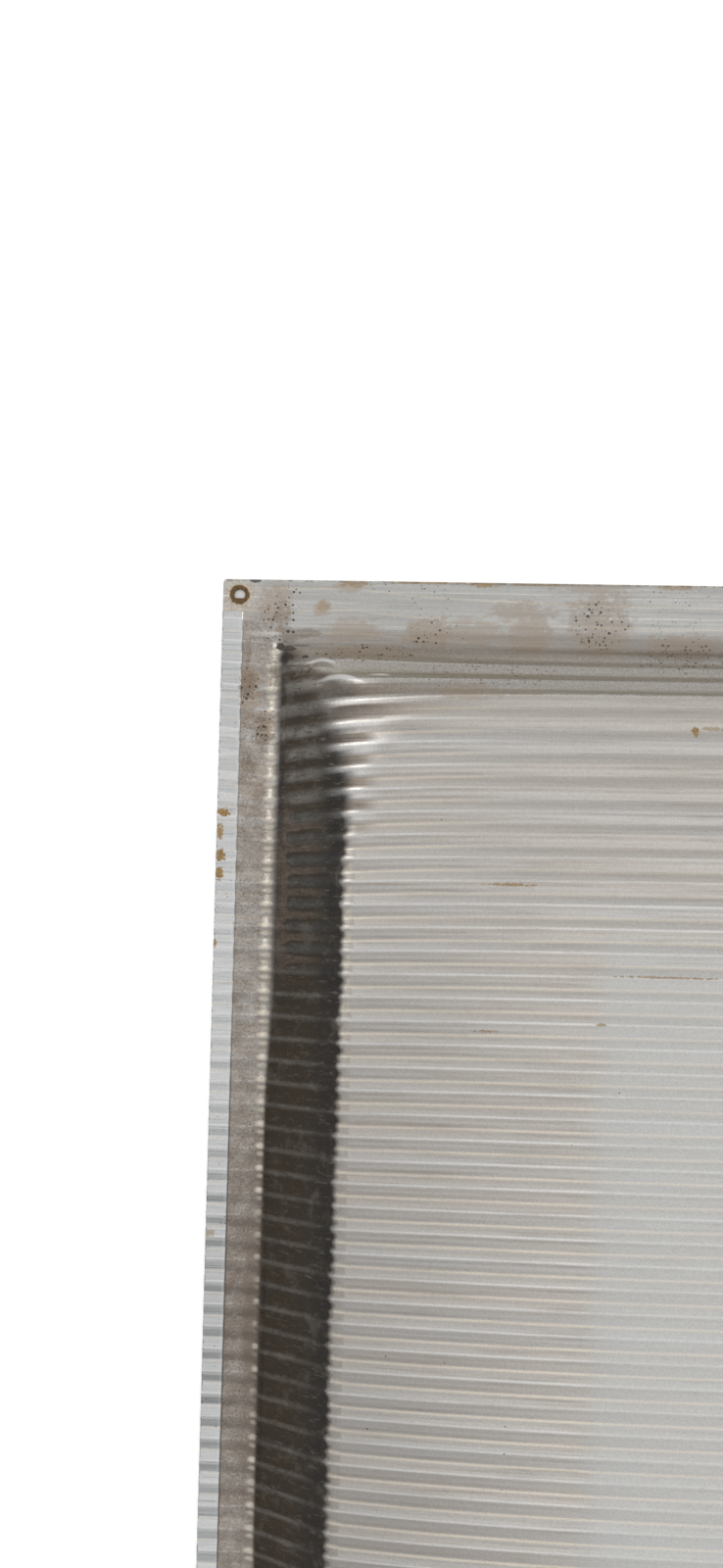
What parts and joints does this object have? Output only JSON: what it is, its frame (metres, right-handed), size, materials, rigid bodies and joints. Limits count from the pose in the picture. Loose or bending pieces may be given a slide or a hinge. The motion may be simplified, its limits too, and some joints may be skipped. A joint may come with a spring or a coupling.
{
  "type": "facade panel",
  "caption": "Facade panel pressed from one ribbed aluminium sheet: a flat rim with corner fixing holes round a raised, gently crowned field.",
  "frame": {"origin": "centre of the panel's bounding box, on its underside", "axes": "+X along the ribs and the panel's width, +Y along its length towards the edge nearest the pictured corner, +Z out of the raised front face"},
  "size_m": [1, 0.8, 0.0445],
  "materials": {
    "weathered_aluminium": "mill-finish ribbed sheet, weathered and grimy on the walls and rim"
  },
  "bodies": {
    "root": {"ribbed_panel_sheet": "weathered_aluminium"}
  },
  "joints": []
}
